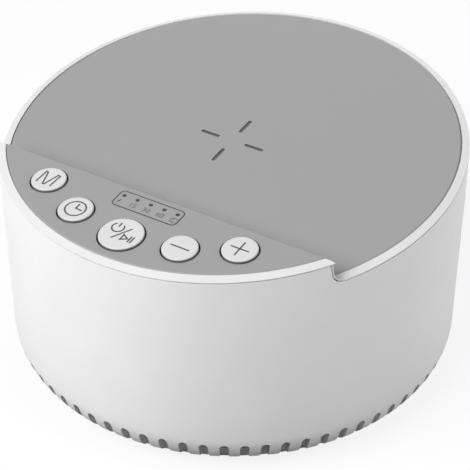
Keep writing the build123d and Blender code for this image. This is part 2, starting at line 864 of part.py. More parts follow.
with BuildPart() as voice_coil:
    with BuildSketch(Plane.XY.offset(winding_z)):
        Circle(winding_outer)
        Circle(former_outer, mode=Mode.SUBTRACT)
    extrude(amount=winding_height)
voice_coil.part.label = "voice_coil"
export_step(voice_coil.part, "parts/voice_coil.step")

# Surround: a rubber half roll from the cone's edge land to the front face of the flange
with BuildPart() as speaker_surround:
    with BuildSketch(Plane.XZ):
        with BuildLine():
            low = cone_z - surround_wall
            middle = (cone_edge_radius + flange_bore) / 2
            Polyline((cone_edge_radius, low), (edge, low), (edge, cone_z), (cone_edge_radius, cone_z))
            ThreePointArc(
                (cone_edge_radius, cone_z), (middle, cone_z - surround_bulge), (flange_bore, flange_z)
            )
            Polyline(
                (flange_bore, flange_z), (flange_bore + surround_lip, flange_z),
                (flange_bore + surround_lip, surround_z), (flange_bore, surround_z),
            )
            ThreePointArc(
                (flange_bore, surround_z), (middle, low - surround_bulge), (cone_edge_radius, low)
            )
        make_face()
    revolve(axis=Axis.Z)
speaker_surround.part.label = "speaker_surround"
export_step(speaker_surround.part, "parts/speaker_surround.step")

with BuildPart() as speaker_spider:
    with BuildSketch(Plane.XY.offset(ledge_z)):
        Circle(basket_neck - spider_glue)
        Circle(former_outer + spider_glue, mode=Mode.SUBTRACT)
    extrude(amount=-spider_wall)
speaker_spider.part.label = "speaker_spider"
export_step(speaker_spider.part, "parts/speaker_spider.step")

# Main board: crescent on four standoffs at the rear, behind the speaker
with BuildPart() as main_board:
    with BuildSketch(Plane.XY.offset(main_bottom)):
        Circle(main_radius)
        with Locations((0, main_front)):
            Rectangle(2 * drum_radius, 2 * drum_radius, align=(Align.CENTER, Align.MAX), mode=Mode.SUBTRACT)
        with Locations(main_posts):
            Circle(small_screw_radius + small_screw_clearance, mode=Mode.SUBTRACT)
    extrude(amount=board_thickness)
main_board.part.label = "main_board"
export_step(main_board.part, "parts/main_board.step")

with BuildPart() as main_screws:
    with BuildSketch(Plane.XY.offset(main_top)):
        with Locations(main_posts):
            Circle(small_head_radius)
    extrude(amount=small_head_height)
    with BuildSketch(Plane.XY.offset(main_top)):
        with Locations(main_posts):
            Circle(small_screw_radius)
    extrude(amount=-board_thickness - small_screw_bite)
main_screws.part.label = "main_screws"
export_step(main_screws.part, "parts/main_screws.step")

with BuildPart() as board_chips:
    with BuildSketch(Plane.XY.offset(main_top)):
        with Locations((-coil_lead_x - chip_gap, chip_row), (terminal_x + chip_gap, chip_row)):
            Rectangle(chip_size, chip_size)
    extrude(amount=chip_height)
board_chips.part.label = "board_chips"
export_step(board_chips.part, "parts/board_chips.step")

with BuildPart() as board_capacitors:
    with BuildSketch(Plane.XY.offset(main_top)):
        with Locations((-capacitor_x, power_row), (capacitor_x, power_row)):
            Circle(capacitor_radius)
    extrude(amount=capacitor_height)
board_capacitors.part.label = "board_capacitors"
export_step(board_capacitors.part, "parts/board_capacitors.step")

with BuildPart() as power_inductor:
    with BuildSketch(Plane.XY.offset(main_top)):
        with Locations((0, power_row)):
            RectangleRounded(inductor_size, inductor_size, inductor_edge)
    extrude(amount=inductor_height)
power_inductor.part.label = "power_inductor"
export_step(power_inductor.part, "parts/power_inductor.step")

with BuildPart() as ribbon_connector:
    with BuildSketch(Plane.XY.offset(main_top)):
        with Locations((0, socket_row)):
            Rectangle(ribbon_width + 2 * socket_wall, socket_width)
    extrude(amount=socket_height)
ribbon_connector.part.label = "ribbon_connector"
export_step(ribbon_connector.part, "parts/ribbon_connector.step")

with BuildPart() as lead_connectors:
    with BuildSketch(Plane.XY.offset(main_top)):
        with Locations((terminal_x, socket_row), (-coil_lead_x, socket_row)):
            Rectangle(lead_socket_length, socket_width)
    extrude(amount=lead_socket_height)
lead_connectors.part.label = "lead_connectors"
export_step(lead_connectors.part, "parts/lead_connectors.step")

# Leads and ribbon: each runs from the face of one connector to the face of the next
lead_sides = (-lead_spacing / 2, lead_spacing / 2)
lead_face_y = socket_row - socket_width / 2
speaker_routes = [
    [
        (terminal_x + side, terminal_y, flange_back + terminal_height),
        (terminal_x + side, terminal_y, lead_z),
        (terminal_x + side, lead_face_y, lead_z),
    ]
    for side in lead_sides
]
speaker_bend = lead_z - flange_back - terminal_height - lead_radius
with BuildPart() as speaker_leads:
    for route in speaker_routes:
        add(round_wire(route, lead_radius, speaker_bend))
speaker_leads.part.label = "speaker_leads"
export_step(speaker_leads.part, "parts/speaker_leads.step")

coil_routes = [
    [
        pad_plane.from_local_coords((side - coil_lead_x, coil_lead_y, coil_bottom)),
        pad_plane.from_local_coords((side - coil_lead_x, coil_lead_y, coil_bottom - coil_lead_drop)),
        (side - coil_lead_x, lead_face_y - coil_lead_run, lead_z),
        (side - coil_lead_x, lead_face_y, lead_z),
    ]
    for side in lead_sides
]
with BuildPart() as coil_leads:
    for route in coil_routes:
        add(round_wire(route, lead_radius, lead_bend))
coil_leads.part.label = "coil_leads"
export_step(coil_leads.part, "parts/coil_leads.step")

ribbon_start = pad_plane.from_local_coords(
    (0, socket_width / 2 - ribbon_row, control_bottom - socket_height / 2)
)
ribbon_corner_z = ribbon_start.Z + (socket_row - ribbon_start.Y) * tan(tilt)
with BuildPart() as control_ribbon:
    with BuildSketch(Plane.YZ):
        with BuildLine() as ribbon_route:
            FilletPolyline(
                (ribbon_start.Y, ribbon_start.Z), (socket_row, ribbon_corner_z),
                (socket_row, main_top + socket_height), radius=ribbon_bend,
            )
        trace(ribbon_route.line, line_width=ribbon_thickness)
    extrude(amount=ribbon_width / 2, both=True)
control_ribbon.part.label = "control_ribbon"
export_step(control_ribbon.part, "parts/control_ribbon.step")

# USB-C socket: a drawn steel shell with a plastic tongue, on the rear edge of the main board
mouth_y = wall_inner_radius(inlet_z) + wall - inlet_sink
with BuildPart() as usb_c_socket:
    with BuildSketch(Plane.XZ.offset(-mouth_y)):
        with Locations((0, inlet_z)):
            SlotOverall(inlet_width, inlet_height)
    extrude(amount=inlet_length)
    with BuildSketch(Plane.XZ.offset(-mouth_y)):
        with Locations((0, inlet_z)):
            SlotOverall(inlet_width - 2 * inlet_wall, inlet_height - 2 * inlet_wall)
    extrude(amount=inlet_length - inlet_wall, mode=Mode.SUBTRACT)
    with BuildSketch(Plane.XZ.offset(inlet_length - mouth_y)):
        with Locations((0, inlet_z)):
            Rectangle(tongue_width, tongue_height)
    extrude(amount=-tongue_length - inlet_wall)
usb_c_socket.part.label = "usb_c_socket"
export_step(usb_c_socket.part, "parts/usb_c_socket.step")

# Base plate: closes the drum from below, with four screw posts and a sound spreader
base_top = floor_z + base_thickness
with BuildPart() as base_plate:
    with BuildSketch(Plane.XY.offset(floor_z)):
        Circle(base_radius)
    extrude(amount=base_thickness)
    with BuildSketch(Plane.XY.offset(base_top)):
        with Locations(post_places):
            Circle(post_radius)
    extrude(amount=baffle_bottom - base_top)
    with BuildSketch(Plane.XZ):
        with BuildLine():
            Polyline(
                (0, base_top), (diffuser_radius, base_top), (diffuser_tip, base_top + diffuser_height),
                (0, base_top + diffuser_height), close=True,
            )
        make_face()
    revolve(axis=Axis.Z)
    with BuildSketch(Plane.XY.offset(floor_z)):
        with Locations(post_places):
            Circle(foot_radius + foot_clearance)
    extrude(amount=foot_seat, mode=Mode.SUBTRACT)
    with BuildSketch(Plane.XY.offset(floor_z)):
        with Locations(post_places):
            Circle(screw_head_radius + foot_clearance)
    extrude(amount=screw_seat - floor_z, mode=Mode.SUBTRACT)
    with BuildSketch(Plane.XY.offset(floor_z)):
        with Locations(post_places):
            Circle(screw_radius + screw_clearance)
    extrude(amount=baffle_bottom - floor_z, mode=Mode.SUBTRACT)
base_plate.part.label = "base_plate"
export_step(base_plate.part, "parts/base_plate.step")

with BuildPart() as housing_screws:
    with BuildSketch(Plane.XY.offset(screw_seat)):
        with Locations(post_places):
            Circle(screw_head_radius)
    extrude(amount=-screw_head_height)
    with BuildSketch(Plane.XY.offset(screw_seat)):
        with Locations(post_places):
            Circle(screw_radius)
    extrude(amount=baffle_top + screw_bite - screw_seat)
housing_screws.part.label = "housing_screws"
export_step(housing_screws.part, "parts/housing_screws.step")

with BuildPart() as rubber_feet:
    with BuildSketch(Plane.XY):
        with Locations(post_places):
            Circle(foot_radius)
    extrude(amount=floor_z + foot_seat)
    chamfer(rubber_feet.faces().group_by(Axis.Z)[0].edges(), foot_edge)
rubber_feet.part.label = "rubber_feet"
export_step(rubber_feet.part, "parts/rubber_feet.step")
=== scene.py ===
from math import cos, pi, radians, sin

import bpy
import numpy as np
from mathutils import Matrix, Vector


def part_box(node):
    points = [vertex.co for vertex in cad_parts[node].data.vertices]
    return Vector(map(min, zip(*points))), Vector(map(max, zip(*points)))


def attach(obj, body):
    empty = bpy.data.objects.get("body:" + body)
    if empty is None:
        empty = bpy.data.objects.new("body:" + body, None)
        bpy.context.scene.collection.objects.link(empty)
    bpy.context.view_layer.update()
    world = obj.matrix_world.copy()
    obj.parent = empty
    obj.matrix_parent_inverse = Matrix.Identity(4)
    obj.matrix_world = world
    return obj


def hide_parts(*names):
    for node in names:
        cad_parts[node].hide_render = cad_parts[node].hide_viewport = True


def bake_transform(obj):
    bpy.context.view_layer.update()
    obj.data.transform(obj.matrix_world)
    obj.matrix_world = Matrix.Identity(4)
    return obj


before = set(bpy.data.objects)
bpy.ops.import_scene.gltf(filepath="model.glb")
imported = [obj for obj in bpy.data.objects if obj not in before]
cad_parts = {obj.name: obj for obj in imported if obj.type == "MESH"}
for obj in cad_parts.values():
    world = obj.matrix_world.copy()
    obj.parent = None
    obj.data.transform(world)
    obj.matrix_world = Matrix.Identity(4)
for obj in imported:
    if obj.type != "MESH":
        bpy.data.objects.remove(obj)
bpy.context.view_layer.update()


# Camera: a long lens above the right front of the drum, looking down on its slanted top.
# Its place comes from the outlines and perspective of the drum in the photograph.
def in_scene(name, data):
    """A new object at the origin, linked to the scene."""
    thing = bpy.data.objects.new(name, data)
    bpy.context.scene.collection.objects.link(thing)
    return thing


camera_azimuth = 0.563772
camera_elevation = 0.662359
camera_distance = 0.482157
camera_pitch = 0.05072
camera_yaw = 0.00073
camera_focus_height = 0.00117
focal_length = 133.545
away = np.array([
    cos(camera_elevation) * sin(camera_azimuth),
    -cos(camera_elevation) * cos(camera_azimuth),
    sin(camera_elevation),
])
right = np.cross(-away, (0, 0, 1))
right /= np.linalg.norm(right)
up = np.cross(right, -away)
right, ahead = (
    cos(camera_yaw) * right + sin(camera_yaw) * away,
    sin(camera_yaw) * right - cos(camera_yaw) * away,
)
up, ahead = (
    cos(camera_pitch) * up - sin(camera_pitch) * ahead,
    sin(camera_pitch) * up + cos(camera_pitch) * ahead,
)
lens = bpy.data.cameras.new("camera")
lens.lens = focal_length
camera = in_scene("camera", lens)
pose = Matrix(np.column_stack([right, up, -ahead]).tolist()).to_4x4()
pose.translation = (camera_distance * away + (0, 0, camera_focus_height)).tolist()
camera.matrix_world = pose
bpy.context.scene.camera = camera
bpy.context.scene.view_settings.view_transform = "Standard"


# Room: a pale floor, a faint even room light, a broad soft lamp at the left front, and weaker
# ones at the right and low behind. The room looks white to the camera and in reflections. To
# other rays the floor is dull, with painted shade close round the drum's foot that darkens the
# foot.
class Wire:
    """One output of a material's nodes. Arithmetic on it adds Math nodes."""

    def __init__(self, finish, socket):
        self.finish = finish
        self.socket = socket

    def maths(self, operation, first, second):
        return self.finish.add("Math", {0: first, 1: second}, operation=operation)

    def __add__(self, other):
        return self.maths("ADD", self, other)

    __radd__ = __add__

    def __sub__(self, other):
        return self.maths("SUBTRACT", self, other)

    def __rsub__(self, other):
        return self.maths("SUBTRACT", other, self)

    def __mul__(self, other):
        return self.maths("MULTIPLY", self, other)

    __rmul__ = __mul__

    def __abs__(self):
        return self.finish.add("Math", {0: self}, operation="ABSOLUTE")

    def __lt__(self, other):
        return self.maths("LESS_THAN", self, other)

    def __gt__(self, other):
        return self.maths("GREATER_THAN", self, other)


class Finish:
    """The nodes of one material or of the world, added one at a time."""

    def __init__(self, owner):
        owner.use_nodes = True
        self.owner = owner
        self.tree = owner.node_tree
        self.tree.nodes.clear()

    def add(self, kind, sockets=None, output=0, stops=None, **settings):
        """Adds a node: settings and ramp stops first, then values or wires for its sockets."""
        node = self.tree.nodes.new("ShaderNode" + kind)
        for key, value in settings.items():
            setattr(node, key, value)
        for place, (position, level) in enumerate(stops or ()):
            elements = node.color_ramp.elements
            stop = elements[place] if place < 2 else elements.new(position)
            stop.position = position
            stop.color = (level, level, level, 1)
        for key, value in (sockets or {}).items():
            if isinstance(value, Wire):
                self.tree.links.new(value.socket, node.inputs[key])
            else:
                node.inputs[key].default_value = value
        return Wire(self, node.outputs[output]) if len(node.outputs) else node

    def output(self, kind, surface):
        """Joins the last shader to the output node."""
        self.add(kind, {"Surface": surface})


def shows_white(finish):
    """One for rays from the camera, in reflections and through clear pieces, else zero."""
    seen = finish.add("LightPath")
    for ray in ("Is Glossy Ray", "Is Transmission Ray"):
        seen = seen.maths("MAXIMUM", seen, finish.add("LightPath", output=ray))
    return seen


def ramp(finish, value, start, end, low, high):
    """A straight slope from low, where the value is at start, to high, where it is at end."""
    return finish.add("MapRange", {0: value, 1: start, 2: end, 3: low, 4: high})


room = Finish(bpy.data.worlds.new("room"))
bpy.context.scene.world = room.owner
room_level = 0.04
room.output("OutputWorld", room.add("Background", {
    "Color": (1, 1, 1, 1), "Strength": room_level + (1 - room_level) * shows_white(room),
}))

floor_half = 1.5
# Painted shade on the floor: near black out to the first reach, paler up to the second, for rays
# other than the camera's.
painted_shade_edges, painted_shade_tones = (0.062, 0.088), (0.02, 0.55)
white_edges, white_shares = (0.25, 0.7), (0.85, 1.0)
fibre_contrast = 0.02
floor_mesh = bpy.data.meshes.new("floor")
floor_mesh.from_pydata([
    (-floor_half, -floor_half, 0), (floor_half, -floor_half, 0),
    (floor_half, floor_half, 0), (-floor_half, floor_half, 0),
], [], [(0, 1, 2, 3)])
floor = in_scene("floor", floor_mesh)
paper = Finish(bpy.data.materials.new("studio_paper"))
paper_fibre = paper.add("TexNoise", {"Scale": 900.0, "Detail": 3.0})
paper_place = paper.add("TexCoord", output="Object")
paper_reach = paper.add("VectorMath", {0: paper_place}, operation="LENGTH", output="Value")
# Painted shade: the dull floor is darkest round the drum's foot in place of its contact shadow,
# which cuts the bounce light on the foot.
paper_shade_and_fibre = ramp(paper, paper_reach, *painted_shade_edges, *painted_shade_tones)
paper_shade_and_fibre = paper_shade_and_fibre + (paper_fibre - 0.5) * fibre_contrast
paper_dull_with_shade = paper.add("BsdfDiffuse", {"Color": paper_shade_and_fibre})
paper_white = ramp(paper, paper_reach, *white_edges, *white_shares)
paper_lit = paper.add("MixShader", {
    0: paper_white,
    1: paper.add("BsdfDiffuse", {"Color": (0.98, 0.98, 0.98, 1)}),
    2: paper.add("Emission", {"Color": (1, 1, 1, 1), "Strength": 1.0}),
})
paper.output("OutputMaterial", paper.add("MixShader", {
    0: shows_white(paper), 1: paper_dull_with_shade, 2: paper_lit,
}))
floor_mesh.materials.append(paper.owner)


def soft_lamp(name, azimuth, elevation, power, distance=1.2, size=0.9):
    """A square soft box that faces the drum from an azimuth and elevation in degrees."""
    lamp = bpy.data.lights.new(name, "AREA")
    lamp.shape = "SQUARE"
    lamp.size = size
    lamp.energy = power
    turn = (Matrix.Rotation(radians(azimuth), 4, "Z")
            @ Matrix.Rotation(radians(90 - elevation), 4, "X"))
    in_scene(name, lamp).matrix_world = turn @ Matrix.Translation((0, 0, distance))


soft_lamp("soft_lamp_left", azimuth=-27, elevation=43, power=16.0)
soft_lamp("soft_lamp_right", azimuth=111, elevation=27, power=7.5)
soft_lamp("soft_lamp_rear", azimuth=198, elevation=14, power=4.5)


# Base plate: one white moulding that closes the drum from below. Its four posts carry the
# floor of the drum, and a blunt cone in its middle spreads the sound out to the slots.
def new_finish(name):
    """A new material's nodes, and the place on the object that its patterns follow."""
    finish = Finish(bpy.data.materials.new(name))
    return finish, finish.add("TexCoord", output="Object")


def toned(finish, colour, share):
    """A colour times a share that changes over the surface."""
    return finish.add("VectorMath", {0: colour, "Scale": share}, operation="SCALE")


def surfaced(finish, sockets):
    """Ends a material with one Principled shader."""
    finish.output("OutputMaterial", finish.add("BsdfPrincipled", sockets))
    return finish


def moulded(name, colour, roughness, grain=0.00022, depth=0.000006, flow=0.02, paint=None):
    """Moulded plastic: spark-eroded grain, faint flow tones, and gloss that drifts a little.

    A paint is a function that takes the finish, the place and the colour, and returns a colour.
    """
    flow_scale, gloss_drift, gloss_grain = 55.0, 0.16, 0.10
    finish, place = new_finish(name)
    sparks = finish.add("TexNoise", {"Vector": place, "Scale": 1 / grain, "Detail": 2.0})
    drift = finish.add("TexNoise", {
        "Vector": place, "Scale": flow_scale, "Detail": 3.0, "Roughness": 0.45,
    })
    colour_here = toned(finish, colour, ramp(finish, drift, 0.3, 0.7, 1 - flow, 1 + flow))
    if paint:
        colour_here = paint(finish, place, colour_here)
    return surfaced(finish, {
        "Base Color": colour_here,
        "Roughness": roughness + (drift - 0.5) * gloss_drift + (sparks - 0.5) * gloss_grain,
        "Normal": finish.add("Bump", {"Height": sparks, "Strength": 0.6, "Distance": depth}),
        "IOR": 1.49,
    })


def dress(finish, *nodes):
    """Puts one finish on every material slot of the CAD pieces named."""
    for node in nodes:
        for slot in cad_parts[node].material_slots:
            slot.material = finish.owner


base_finish = moulded("base_plastic", (0.80, 0.80, 0.80), roughness=0.5, grain=0.0003)
dress(base_finish, "base_plate")


# Rubber feet: four black pads pressed from a sheet and stuck in the base plate's round
# seats, over the long screws. Dust lightens them in patches.
feet_finish, feet_place = new_finish("feet_rubber")
feet_pores = feet_finish.add("TexNoise", {"Vector": feet_place, "Scale": 2600.0, "Detail": 4.0})
feet_dust = feet_finish.add("TexNoise", {"Vector": feet_place, "Scale": 240.0, "Detail": 3.0})
feet_tone = ramp(feet_finish, feet_dust, 0.35, 0.75, 0.018, 0.034)
feet_bump = feet_finish.add("Bump", {"Height": feet_pores, "Strength": 0.7, "Distance": 0.00002})
surfaced(feet_finish, {
    "Base Color": feet_tone, "Roughness": 0.62 + feet_pores * 0.2, "Normal": feet_bump,
})
dress(feet_finish, "rubber_feet")


# Screws: four long ones up through the base plate and eight short ones on the two boards,
# all of zinc-plated steel with fine turning marks.
def turned_metal(name, colour, roughness, marks=9000.0):
    """Plated or drawn metal: noise drawn out sideways to fine level lines, and light tarnish."""
    finish, place = new_finish(name)
    lines = finish.add("TexNoise", {
        "Vector": finish.add("Mapping", {"Vector": place, "Scale": (0.15, 0.15, 1.0)}),
        "Scale": marks, "Detail": 2.0,
    })
    tarnish = finish.add("TexNoise", {"Vector": place, "Scale": 350.0, "Detail": 3.0})
    tone = ramp(finish, tarnish, 0.3, 0.75, 1.0, 0.82)
    return surfaced(finish, {
        "Base Color": toned(finish, colour, tone), "Metallic": 1.0,
        "Roughness": roughness + tarnish * 0.12,
        "Normal": finish.add("Bump", {"Height": lines, "Strength": 0.35, "Distance": 0.000004}),
    })


screw_finish = turned_metal("screw_zinc", (0.62, 0.63, 0.64), roughness=0.28)
dress(screw_finish, "housing_screws", "control_screws", "main_screws")


# Inner mouldings: the floor that holds the speaker and the tray under the coil, both black
# moulded plastic with a plain matt skin.
black_finish = moulded("inner_black", (0.022, 0.022, 0.023), roughness=0.55)
dress(black_finish, "speaker_baffle", "coil_tray")


# Speaker: a pressed steel basket, a ferrite ring between steel plates, and a paper cone in a
# rubber surround, glued up in layers and seated on a foam gasket.
steel_finish = turned_metal("drawn_steel", (0.55, 0.55, 0.56), roughness=0.34)
dress(steel_finish, "speaker_basket", "speaker_top_plate", "speaker_yoke")


def pressed_stuff(name, colour, roughness, grain, depth, contrast):
    """Pressed or sintered stuff: a colour broken up by its own grain, with a bump to match."""
    finish, place = new_finish(name)
    grains = finish.add("TexNoise", {
        "Vector": place, "Scale": 1 / grain, "Detail": 4.0, "Roughness": 0.6,
    })
    tone = ramp(finish, grains, 0.3, 0.7, 1 - contrast, 1 + contrast)
    return surfaced(finish, {
        "Base Color": toned(finish, colour, tone),
        "Roughness": roughness + (grains - 0.5) * 0.2,
        "Normal": finish.add("Bump", {"Height": grains, "Strength": 0.6, "Distance": depth}),
    })


ferrite_finish = pressed_stuff(
    "ferrite", (0.06, 0.06, 0.065), roughness=0.45, grain=0.0003, depth=0.00001, contrast=0.2
)
dress(ferrite_finish, "speaker_magnet", "ferrite_sheet")
for node, name, colour, roughness, grain, depth, contrast in (
    ("speaker_cone", "cone_paper", (0.05, 0.048, 0.045), 0.85, 0.0005, 0.00004, 0.3),
    ("speaker_surround", "surround_rubber", (0.02, 0.02, 0.02), 0.5, 0.0008, 0.00001, 0.2),
    ("speaker_gasket", "gasket_foam", (0.06, 0.06, 0.06), 0.95, 0.0004, 0.00008, 0.4),
    ("speaker_terminal", "terminal_board", (0.28, 0.17, 0.08), 0.6, 0.0006, 0.00001, 0.15),
):
    dress(pressed_stuff(name, colour, roughness, grain, depth, contrast), node)


# Spider: a cloth disc pressed into ring-shaped waves, glued outside to the basket and inside to
# the neck of the cone. It is laid out in wedges.
def along(finish, place, axis):
    """How far a place lies along the X, Y or Z axis."""
    return finish.add("SeparateXYZ", {0: place}, output=axis)


def waves(finish, distance, pitch):
    """A sine of the distance, which comes round once in each pitch."""
    return finish.add("Math", {0: distance * (2 * pi / pitch)}, operation="SINE")


def woven(name, colour, pitch, depth):
    """Cloth of crossed threads: height is the sines along x, y and z, multiplied in pairs, and
    the colour darkens where it is low: painted shade between the threads.
    """
    finish, place = new_finish(name)
    across, forward, upward = [
        waves(finish, along(finish, place, axis), pitch) for axis in "XYZ"
    ]
    threads = across * forward + forward * upward + upward * across
    # Painted shade: the colour darkens where the threads lie low, and lightens on their crests.
    cover = ramp(finish, threads, -0.8, 0.8, 0.55, 1.25)
    return surfaced(finish, {
        "Base Color": toned(finish, colour, cover), "Roughness": 0.9, "Sheen Weight": 0.2,
        "Normal": finish.add("Bump", {"Height": threads, "Strength": 0.8, "Distance": depth}),
    })


spider_low, spider_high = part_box("speaker_spider")
spider_level = (spider_low[2] + spider_high[2]) / 2
spider_inner, spider_glued, spider_outer = 0.0069, 0.0104, spider_high[0]
spider_waves, wave_height, cloth_half = 5, 0.00009, 0.00008
wedge_count, profile_steps, turn_steps = 12, 61, 7
spider_finish = woven("spider_cloth", (0.45, 0.25, 0.08), pitch=0.0007, depth=0.0001)


def spider_wedge(name, middle):
    """One wedge of the disc: height is a sine of the radius, and the underside runs below."""
    out = np.linspace(spider_inner, spider_outer, profile_steps)
    share = (out - spider_inner) / (spider_outer - spider_inner)
    wave = wave_height * np.sin(2 * pi * spider_waves * share)
    profile_reach = np.concatenate([out, out[::-1]])
    profile_wave = np.concatenate([wave + cloth_half, (wave - cloth_half)[::-1]])
    angles = middle + np.linspace(-pi / wedge_count, pi / wedge_count, turn_steps)
    reach, angle = np.meshgrid(profile_reach, angles)
    level = np.broadcast_to(spider_level + profile_wave, angle.shape)
    points = np.stack([reach * np.cos(angle), reach * np.sin(angle), level], axis=-1)
    around = len(profile_reach)
    here = np.arange(around)
    there = (here + 1) % around
    row = np.arange(turn_steps - 1)[:, None] * around
    skin = np.stack([
        row + here, row + there, row + around + there, row + around + here
    ], axis=-1)
    ends = [here[::-1].tolist(), (here + around * (turn_steps - 1)).tolist()]
    mesh = bpy.data.meshes.new(name)
    mesh.from_pydata(points.reshape(-1, 3).tolist(), [], skin.reshape(-1, 4).tolist() + ends)
    mesh.materials.append(spider_finish.owner)
    return in_scene(name, mesh)


for number in range(wedge_count):
    middle = 2 * pi * number / wedge_count
    wedge = spider_wedge(f"spider_wedge_{number + 1}", middle)
    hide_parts("speaker_spider")
    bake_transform(wedge)


# Coils: enamelled copper wire, wound round the cone's neck as the voice coil, and in a flat
# ring under the pad as the charging coil.
def wound(name, colour, pitch, metal):
    """Wound wire: turns that rise and fall as a sine of the distance from the drum's foot,
    darker in the grooves between turns as painted shade.
    """
    finish, place = new_finish(name)
    reach = finish.add("VectorMath", {0: place}, operation="LENGTH", output="Value")
    turns = waves(finish, reach, pitch)
    # Painted shade: the colour darkens in the grooves between the turns and lightens on their
    # crests.
    tone = ramp(finish, turns, -1.0, 1.0, 0.45, 1.1)
    return surfaced(finish, {
        "Base Color": toned(finish, colour, tone), "Metallic": metal, "Roughness": 0.32,
        "Normal": finish.add("Bump", {"Height": turns, "Strength": 0.9, "Distance": pitch / 6}),
    })


copper_finish = wound("copper_wire", (0.72, 0.30, 0.14), pitch=0.0006, metal=0.9)
dress(copper_finish, "voice_coil", "charging_coil")


# Boards: green epoxy glass sheets with copper tracks under the lacquer, carrying moulded
# black parts, sleeved capacitors and white connectors. Leads and a flat ribbon join them.
def mixed(finish, share, first, second):
    """The first colour where the share is zero, and the second where it is one."""
    return finish.add(
        "Mix", {"Factor": share, 6: first, 7: second}, output=2, data_type="RGBA"
    )


def board(name):
    """Green circuit board: a faint glass weave, and lighter tracks where a cell pattern runs."""
    finish, place = new_finish(name)
    cells = finish.add(
        "TexVoronoi", {"Vector": place, "Scale": 420.0},
        output="Distance", feature="F1", distance="MANHATTAN",
    )
    tracks = finish.add("ValToRGB", {0: cells}, stops=[(0.42, 0.0), (0.46, 1.0)])
    weave = finish.add("TexNoise", {"Vector": place, "Scale": 3000.0, "Detail": 2.0})
    height = tracks + weave * 0.2
    return surfaced(finish, {
        "Base Color": mixed(finish, tracks, (0.012, 0.105, 0.032, 1), (0.03, 0.19, 0.06, 1)),
        "Roughness": 0.32 + weave * 0.12, "Coat Weight": 0.3,
        "Normal": finish.add("Bump", {"Height": height, "Strength": 0.5, "Distance": 0.00003}),
    })


button_names = ("mode", "timer", "power", "minus", "plus")
dress(board("board_green"), "control_board", "main_board")
chip_finish = moulded("chip_epoxy", (0.02, 0.02, 0.02), roughness=0.6, grain=0.0001)
dress(chip_finish, "board_chips", "power_inductor")
dress(moulded("capacitor_sleeve", (0.02, 0.03, 0.07), roughness=0.35), "board_capacitors")
nylon_finish = moulded("connector_nylon", (0.62, 0.60, 0.54), roughness=0.45)
dress(nylon_finish, "ribbon_connector", "lead_connectors", "control_connector")
dress(moulded("switch_black", (0.025, 0.025, 0.025), roughness=0.4), "switch_bodies")
stem_finish = moulded("stem_black", (0.03, 0.03, 0.03), roughness=0.35)
dress(stem_finish, *[f"switch_stem_{name}" for name in button_names])
dress(moulded("led_white", (0.78, 0.77, 0.62), roughness=0.3), "timer_leds")
lead_finish = moulded("wire_sleeve", (0.35, 0.03, 0.03), roughness=0.4)
dress(lead_finish, "speaker_leads", "coil_leads")
dress(moulded("ribbon_film", (0.42, 0.42, 0.40), roughness=0.4), "control_ribbon")


# Supply inlet: a drawn steel shell round a black plastic tongue, soldered to the board's
# rear edge and seen through a round-ended hole in the drum's wall.
tongue_half_width, tongue_half_height = 0.00335, 0.00036
inlet_height = 0.02923
inlet_finish, inlet_place = new_finish("inlet_steel")
beside = abs(along(inlet_finish, inlet_place, "X"))
above = abs(along(inlet_finish, inlet_place, "Z") - inlet_height)
on_tongue = (beside < tongue_half_width) * (above < tongue_half_height)
scratches = inlet_finish.add("TexNoise", {
    "Vector": inlet_finish.add("Mapping", {"Vector": inlet_place, "Scale": (1.0, 0.1, 1.0)}),
    "Scale": 5000.0, "Detail": 2.0,
})
surfaced(inlet_finish, {
    "Base Color": mixed(
        inlet_finish, on_tongue, (0.58, 0.58, 0.59, 1), (0.015, 0.015, 0.015, 1)
    ),
    "Metallic": 1 - on_tongue, "Roughness": 0.24 + scratches * 0.15,
    "Normal": inlet_finish.add("Bump", {
        "Height": scratches, "Strength": 0.4, "Distance": 0.000004,
    }),
})
dress(inlet_finish, "usb_c_socket")


# Housing: the white drum, moulded in one with the round-topped slots in its curved foot.
# Fine grain outside; black cloth lines the slots from inside.
dress(moulded("shell_white", (0.86, 0.86, 0.86), roughness=0.6), "housing")
dress(woven("sound_cloth", (0.03, 0.03, 0.03), pitch=0.0005, depth=0.00008), "vent_liner")


# Top frame: the white bevelled ring that carries the cover and stops the phone at the step.
# It sits in the drum's lip over a thin seam.
dress(moulded("frame_white", (0.77, 0.77, 0.77), roughness=0.5), "top_frame")


# Top cover: a thin grey moulding in two levels with a soft matt skin, let into the frame. Four
# short cuts round the middle of the pad are filled with dark paint, and mark the charging spot.
tilt = radians(6.8)
pad_height = 0.0606
step_height = 0.0058
mark_reach = 0.0105
paint_top, paint_bottom = -0.00003, -0.0004
paint_colour = (0.10, 0.10, 0.10, 1)
cover_colour = (0.33, 0.33, 0.33)


def height_over_pad(finish, place):
    """How far a point lies above the pad's own plane, measured square to it."""
    rise = along(finish, place, "Z") - pad_height
    return rise * cos(tilt) - along(finish, place, "Y") * sin(tilt)


def mark_paint(finish, place, colour):
    """Dark paint on all that lies just below the pad's own plane, near the drum's axis."""
    level = height_over_pad(finish, place)
    reach = finish.add(
        "VectorMath", {0: place, 1: (0, 0, pad_height)}, operation="DISTANCE", output="Value"
    )
    painted = (level < paint_top) * (level > paint_bottom) * (reach < mark_reach)
    return mixed(finish, painted, colour, paint_colour)


cover_finish = moulded(
    "cover_grey", cover_colour, roughness=0.5, grain=0.00018, flow=0.012, paint=mark_paint
)
dress(cover_finish, "top_cover")


# Indicator plate and lights: a thin grey label plate with a dark printed outline, five smoked
# light pipe ends, and a small printed sign under each.
ink_thickness = 0.00003


def on_top(points, level):
    """Places points of the top's own plane, in metres, at a level square to it."""
    points = np.asarray(points, float)
    x, y = points[:, 0], points[:, 1]
    return np.column_stack([
        x, y * cos(tilt) - level * sin(tilt), pad_height + y * sin(tilt) + level * cos(tilt)
    ])


